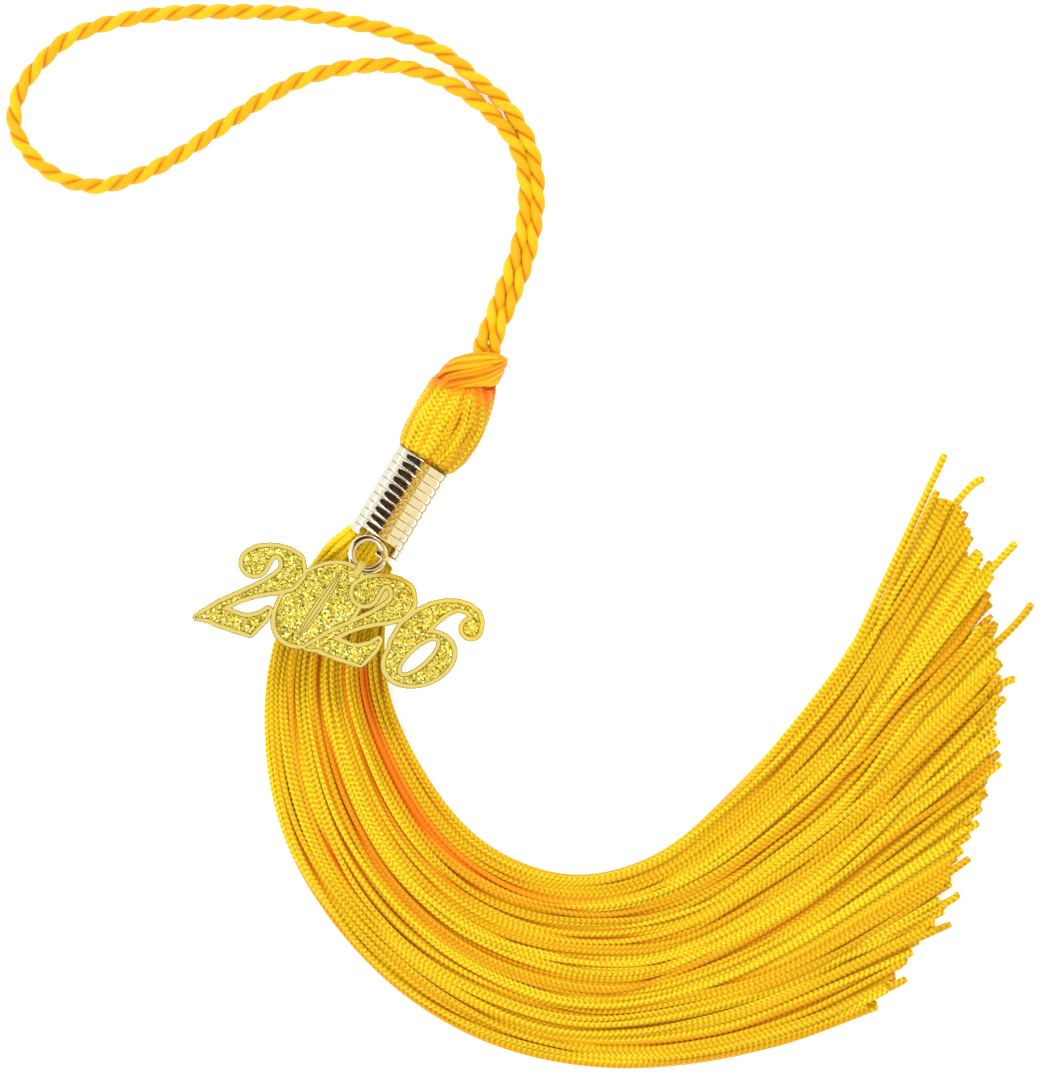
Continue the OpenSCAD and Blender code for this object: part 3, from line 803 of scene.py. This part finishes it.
def make_wraps(rng):
    """Smooth yarn wrapped over the top of the head, under the cord."""
    wraps = Bundle()
    guides = np.array(WRAP_GUIDES, float) * (1, math.pi / 180)
    for f in np.linspace(0, 1, WRAPS):
        route = on_curve(guides.reshape(3, -1), np.array([f]))[0].reshape(-1, 2)
        q = curve_through(route, WRAP_STEPS)
        s = np.linspace(0, 1, WRAP_STEPS)
        radius = WRAP_R * (1 + 0.22 * np.sin(math.pi * smooth(s, 0.25, 1.0)) + 0.06 * np.sin(9 * s + 5 * f))
        over_or_under = 0.26 * (-1) ** round(f * (WRAPS - 1))
        lift = 0.12 + over_or_under + 0.12 * np.sin(TURN * (1.4 * s + rng.uniform()))
        lift = lift - 0.75 * smooth(s, 0.84, 1.0)
        # Painted shade at the wraps' ends and down their flanks, with a random share for each wrap
        deep = 0.55 * rng.uniform() ** 2 + 0.2 * smooth(s, 0.4, 0.1) + 0.4 * smooth(s, 0.75, 1.0)
        flank_shade = 0.6 * np.abs(np.cos(np.arange(WRAP_SIDES) * TURN / WRAP_SIDES))[None, :] ** 1.6
        smooth_strand(wraps, on_head(q[:, 0], q[:, 1], lift), radius, WRAP_SIDES,
                      deep=np.clip(deep[:, None] + flank_shade, 0, 0.8), tone=rng.uniform(0.1, 0.6))
    piece = wraps.mesh("head_wraps", cord_yarn)
    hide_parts("cord_hitch")
    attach(piece, "head")


make_head()

# Band -------------------------------------------------------------------------------------------

# The coil's first turn and its pitch, the flat wire's width and thickness, and the band's diameter
FIRST_A, WIRE_PITCH, WIRE_W, WIRE_T, BAND_D = 1.2, 1.6, 1.54, 0.5, 11.0
# Radius of the wire's crowned outer face
CROWN_R = 2.3
FACE_POINTS = 13
TURN_STEPS = 96
# The coil's visible arcs, in turns. It is closed up to the ring, then open over the top to leave it room
ARCS = [[-0.4, 9.895], [10.125, 10.62], [11.03, 11.45]]
# The end of the wire hooks over the ring: how high, and the middle and half width of the hook in turns
HOOK, HOOK_AT, HOOK_W = 1.1, 11.089, 0.042
# How much narrower the wire is at its hook, and the turns between which it narrows
HOOK_TAPER, TAPER_FROM, TAPER_TO = 0.4, 11.2, 11.08
EDGE_BEVEL = 0.06


def make_band():
    """The coil, wound from flat wire in arcs that leave the ring its room."""
    bundle = Bundle()
    outer = np.column_stack([np.linspace(-1, 1, FACE_POINTS), np.ones(FACE_POINTS)])
    profile = np.concatenate([outer, [[1, -1], [-1, -1]]])
    for first, last in ARCS:
        t = np.linspace(first, last, int((last - first) * TURN_STEPS))
        a = FIRST_A + WIRE_PITCH * t
        r = BAND_D / 2 - WIRE_T / 2 + HOOK * np.exp(-((t - HOOK_AT) / HOOK_W) ** 2)
        taper = 1 - HOOK_TAPER * (first == ARCS[-1][0]) * smooth(t, TAPER_FROM, TAPER_TO)
        c = WIRE_W / 2 * taper[:, None] * profile[None, :, 0]
        crown = CROWN_R - np.sqrt(CROWN_R**2 - c**2)
        out = r[:, None] + WIRE_T / 2 * profile[None, :, 1] - crown * (profile[None, :, 1] > 0)
        b, z = out * np.sin(TURN * t)[:, None], AXIS_Z + out * np.cos(TURN * t)[:, None]
        rings = np.concatenate([band_xy(a[:, None] + c, b), z[..., None]], axis=-1)[:, ::-1]
        # Painted shadow line along the wire's edge at the upper rim in the first turn, and fainter painted
        # shade along every wire edge between turns
        in_first_turn = np.where(t < 0, 0.5, 1.0) * (t < ARCS[0][0] + 1)
        rim = (profile[None, :, 0] < -0.8) * in_first_turn[:, None]
        seam_shade = np.maximum(rim, 0.3 * (np.abs(profile[None, :, 0]) > 0.95))
        bundle.tube(rings, deep=seam_shade[:, ::-1, None])
    piece = bundle.mesh("coiled_band", band_metal)
    piece.modifiers.new("edges", "BEVEL").width = EDGE_BEVEL * MM
    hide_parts("coil_band")
    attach(piece, "head")


make_band()

# Strands drawn in the neck, their radius, and the radius that their middles keep to
NECK_STRANDS, NECK_STRAND_R, NECK_R = 22, 0.8, 3.9
NECK_STEPS = 24


def make_neck():
    """The yarn inside the band, from the head to the skirt."""
    rng = np.random.default_rng(SEED + 4)
    bundle = Bundle()
    k = np.arange(NECK_STRANDS) + 0.5
    r, around = NECK_R * np.sqrt(k / NECK_STRANDS), k * math.pi * GOLDEN_TURN
    a = np.linspace(-1.0, 15.5, NECK_STEPS)
    for x, z in zip(r * np.cos(around), r * np.sin(around)):
        line = np.column_stack([band_xy(a, np.full(NECK_STEPS, x)), np.full(NECK_STEPS, AXIS_Z + z)])
        # Painted shade over the yarn inside the band
        chain_strand(bundle, line, NECK_STRAND_R, np.zeros(NECK_STEPS), rng, deep=0.8)
    piece = bundle.mesh("neck_yarn", chain_yarn)
    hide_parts("yarn_neck")
    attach(piece, "head")


make_neck()

# Charm ------------------------------------------------------------------------------------------

GLITTER_FILLS = ("glitter_first", "glitter_second", "glitter_third", "glitter_fourth")
FLAKES = 7000
FLAKE_SIDES = 6
# The smallest and largest radius of a flake, how far flakes rise off the fill, and how much they tilt
FLAKE_R = (0.14, 0.27)
FLAKE_RISE = 0.07
FLAKE_TILT = 0.26


def make_glitter():
    """Six-sided flakes, strewn over the tops of the glitter fills."""
    rng = np.random.default_rng(SEED + 5)
    corners = []
    for name in GLITTER_FILLS:
        me = frame["nodes"][name].data
        me.calc_loop_triangles()
        for tri in me.loop_triangles:
            if tri.normal.z > 0.9:
                corners.append([me.vertices[v].co[:] for v in tri.vertices])
    corners = np.array(corners) / MM
    area = np.linalg.norm(np.cross(corners[:, 1] - corners[:, 0], corners[:, 2] - corners[:, 0]), axis=1)
    pick = rng.choice(len(area), FLAKES, p=area / area.sum())
    u, v = rng.uniform(size=(2, FLAKES, 1))
    u, v = np.where(u + v > 1, 1 - u, u), np.where(u + v > 1, 1 - v, v)
    q = corners[pick]
    middle = q[:, 0] + u * (q[:, 1] - q[:, 0]) + v * (q[:, 2] - q[:, 0])
    middle[:, 2] += rng.uniform(0.0, FLAKE_RISE, FLAKES)
    size = rng.uniform(*FLAKE_R, FLAKES)
    spin = rng.uniform(0, TURN, FLAKES)
    tilt = rng.normal(0, FLAKE_TILT, (FLAKES, 2))
    corner = np.arange(FLAKE_SIDES) * TURN / FLAKE_SIDES
    x = size[:, None] * np.cos(corner + spin[:, None])
    y = size[:, None] * np.sin(corner + spin[:, None])
    z = x * tilt[:, :1] + y * tilt[:, 1:]
    points = middle[:, None] + np.stack([x, y, z], axis=-1)
    me = bpy.data.meshes.new("glitter_flakes")
    me.vertices.add(FLAKES * FLAKE_SIDES)
    me.vertices.foreach_set("co", (points * MM).astype(np.float32).ravel())
    me.loops.add(FLAKES * FLAKE_SIDES)
    me.loops.foreach_set("vertex_index", np.arange(FLAKES * FLAKE_SIDES, dtype=np.int32))
    me.polygons.add(FLAKES)
    me.polygons.foreach_set("loop_start", np.arange(FLAKES, dtype=np.int32) * FLAKE_SIDES)
    me.update(calc_edges=True)
    tone = me.attributes.new("strand", "FLOAT", "POINT")
    tone.data.foreach_set("value", np.repeat(rng.uniform(size=FLAKES), FLAKE_SIDES).astype(np.float32))
    me.materials.append(glitter_flake)
    piece = bpy.data.objects.new("glitter_flakes", me)
    scene.collection.objects.link(piece)
    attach(piece, "charm")


make_glitter()

# Radius of the beads of painted shade
RIM_BEAD = 0.09
BEAD_SIDES = 6
# How far the beads are sunk under the rims' tops, and how far they run on at each end
BEAD_SUNK, BEAD_RUN_ON = 0.06, 0.03
SHORTEST_EDGE = 0.01


def make_rims():
    """Narrow beads of painted shade where the charm's rims turn down to its sides and to the glitter."""
    me = frame["nodes"]["charm_plate"].data
    co = np.array([v.co[:] for v in me.vertices]) / MM
    top = co[:, 2].max()
    sides = {}
    for face in me.polygons:
        flat = abs(face.normal.z) > 0.9
        for u, v in face.edge_keys:
            if co[u, 2] > top - 0.02 and co[v, 2] > top - 0.02:
                key = tuple(sorted([tuple(np.round(co[u], 3)), tuple(np.round(co[v], 3))]))
                sides.setdefault(key, set()).add(flat)
    corners = np.arange(BEAD_SIDES) * TURN / BEAD_SIDES
    up = np.array([0, 0, 1])
    bundle = Bundle()
    for (start, end), kinds in sides.items():
        line = np.array([start, end])
        way = line[1] - line[0]
        if len(kinds) < 2 or np.linalg.norm(way) < SHORTEST_EDGE:
            continue
        way /= np.linalg.norm(way)
        right = np.array([way[1], -way[0], 0])
        line = line + [-BEAD_RUN_ON * way, BEAD_RUN_ON * way]
        ring = np.cos(corners)[:, None] * right + np.sin(corners)[:, None] * up
        bundle.tube(line[:, None] + RIM_BEAD * ring - BEAD_SUNK * up)
    piece = bundle.mesh("charm_edge_shades", charm_edge_shade)
    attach(piece, "charm")


make_rims()

# The jump ring's middle
RING_A, RING_Z = 20.0, 10.0
# Its radius, and half the width and half the height of its wire, which is flattened a little
RING_R, RING_WIRE_W, RING_WIRE_T = 2.9, 0.67, 0.56
RING_STEPS, RING_SIDES = 120, 24
# Angle from the meeting of the wire's ends to each end
RING_GAP = 0.03


def make_ring():
    """Jump ring, its wire's ends meeting under the charm."""
    bundle = Bundle()
    turn = np.linspace(RING_GAP, TURN - RING_GAP, RING_STEPS)[:, None]
    angle = (np.arange(RING_SIDES) * TURN / RING_SIDES)[None, :]
    out = RING_R + RING_WIRE_W * np.cos(angle)
    a, b = RING_A + out * np.cos(turn), out * np.sin(turn)
    z = RING_Z + RING_WIRE_T * np.sin(angle) + 0 * turn
    bundle.tube(np.concatenate([band_xy(a, b), z[..., None]], axis=-1)[:, ::-1])
    piece = bundle.mesh("jump_ring", ring_metal)
    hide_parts("charm_ring")
    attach(piece, "ring")


make_ring()


def dress(name, material):
    """Gives a CAD node its finish."""
    node = frame["nodes"][name]
    node.data.materials.clear()
    node.data.materials.append(material)


dress("charm_plate", charm_metal)
dress("charm_bail", charm_metal)
dress("neck_binding", thread)
dress("stopper_knot", cord_yarn)
for fill in GLITTER_FILLS:
    dress(fill, glitter_base)

# Studio -----------------------------------------------------------------------------------------


def staged(name, corners, nodes):
    """A flat piece of the studio, kept apart from the object. Its corners are in metres."""
    me = bpy.data.meshes.new(name)
    me.from_pydata(corners, [], [(0, 1, 2, 3)])
    me.materials.append(nodes.material)
    piece = bpy.data.objects.new(name, me)
    scene.collection.objects.link(piece)
    return piece


# The floor, in metres, glowing a little so that it stays white under the object
FLOOR_SIZE, FLOOR_DROP = 3.0, -0.00005
FLOOR_WHITE = (0.93, 0.93, 0.93, 1)
FLOOR_GLOW = 0.5


def make_floor():
    """A wide white floor under the object."""
    n = Nodes("floor")
    n.set(Base_Color=FLOOR_WHITE, Roughness=0.9, Specular_IOR_Level=0.0)
    n.set(Emission_Color=FLOOR_WHITE, Emission_Strength=FLOOR_GLOW)
    half, z = FLOOR_SIZE / 2, FLOOR_DROP
    staged("floor", [(-half, -half, z), (half, -half, z), (half, half, z), (-half, half, z)], n)


make_floor()


def reflected_card(name, corners, dark, light):
    """A card round the band that only polished metal sees, mottled between two colours.

    Its corners are along and across the band, and up."""
    n = Nodes(name)
    colour = n.mix(n.spread(n.noise(n.place(), 330.0), 0.42, 0.58), (*dark, 1), (*light, 1))
    n.set(Base_Color=(0, 0, 0, 1), Roughness=0.9, Specular_IOR_Level=0.0, Emission_Strength=1.0)
    n.connect(Emission_Color=colour)
    card = staged(name, [tuple(band_point(a, b, z) * MM) for a, b, z in corners], n)
    card.visible_camera = card.visible_diffuse = card.visible_shadow = False
    card.visible_transmission = card.visible_volume_scatter = False


# Heights of the cards' edges over the band and beside it
TOP, LOW = 21.5, 0.5
reflected_card("dark_card", [(-4.5, -1.5, TOP), (21.5, -1.5, TOP), (13, -36, TOP), (-4.5, -36, TOP)],
               (0.02, 0.013, 0.006), (0.07, 0.045, 0.016))
reflected_card("rust_card", [(-5, 1.5, TOP), (22, 1.5, TOP), (21.5, -1.5, TOP), (-4.5, -1.5, TOP)],
               (0.14, 0.05, 0.005), (0.74, 0.42, 0.06))
reflected_card("amber_card", [(-6, 8.5, TOP), (23, 8.5, TOP), (22, 1.5, TOP), (-5, 1.5, TOP)],
               (0.52, 0.27, 0.03), (0.88, 0.66, 0.16))
reflected_card("cream_card", [(-10, 45, TOP), (27, 45, TOP), (23, 8.5, TOP), (-6, 8.5, TOP)],
               (0.90, 0.80, 0.44), (0.99, 0.92, 0.58))
reflected_card("peach_card", [(-14, 45, LOW), (34, 45, LOW), (27, 45, TOP), (-10, 45, TOP)],
               (0.92, 0.76, 0.42), (0.99, 0.86, 0.58))
reflected_card("edge_card", [(-8, 26, LOW), (26, 26, LOW), (24, 15, LOW), (-6, 15, LOW)],
               (0.52, 0.42, 0.24), (0.78, 0.68, 0.46))
reflected_card("pale_card", [(-8, -9, LOW), (26, -9, LOW), (30, -60, LOW), (-12, -60, LOW)],
               (0.86, 0.92, 0.84), (0.97, 1.0, 1.0))


# Where the lamps point, in metres
LAMP_TARGET = (0, 0.02, 0)


def lamp(name, place, size, power):
    """A square white lamp, with its place and its size in metres and its power in watts."""
    data = bpy.data.lights.new(name, "AREA")
    data.size = size
    data.energy = power
    light = bpy.data.objects.new(name, data)
    light.location = place
    aim = np.array(LAMP_TARGET) - np.array(place)
    tilt = math.atan2(math.hypot(aim[0], aim[1]), -aim[2])
    light.rotation_euler = (tilt, 0, math.atan2(aim[1], aim[0]) - math.pi / 2)
    scene.collection.objects.link(light)


lamp("key", (0.30, 0.70, 0.75), 0.35, 4.2)
lamp("fill", (-0.60, -0.20, 0.50), 0.6, 3.0)

world = bpy.data.worlds.new("world")
world.use_nodes = True
world.node_tree.nodes["Background"].inputs["Color"].default_value = (1, 1, 1, 1)
world.node_tree.nodes["Background"].inputs["Strength"].default_value = 0.85
scene.world = world

bpy.context.view_layer.update()
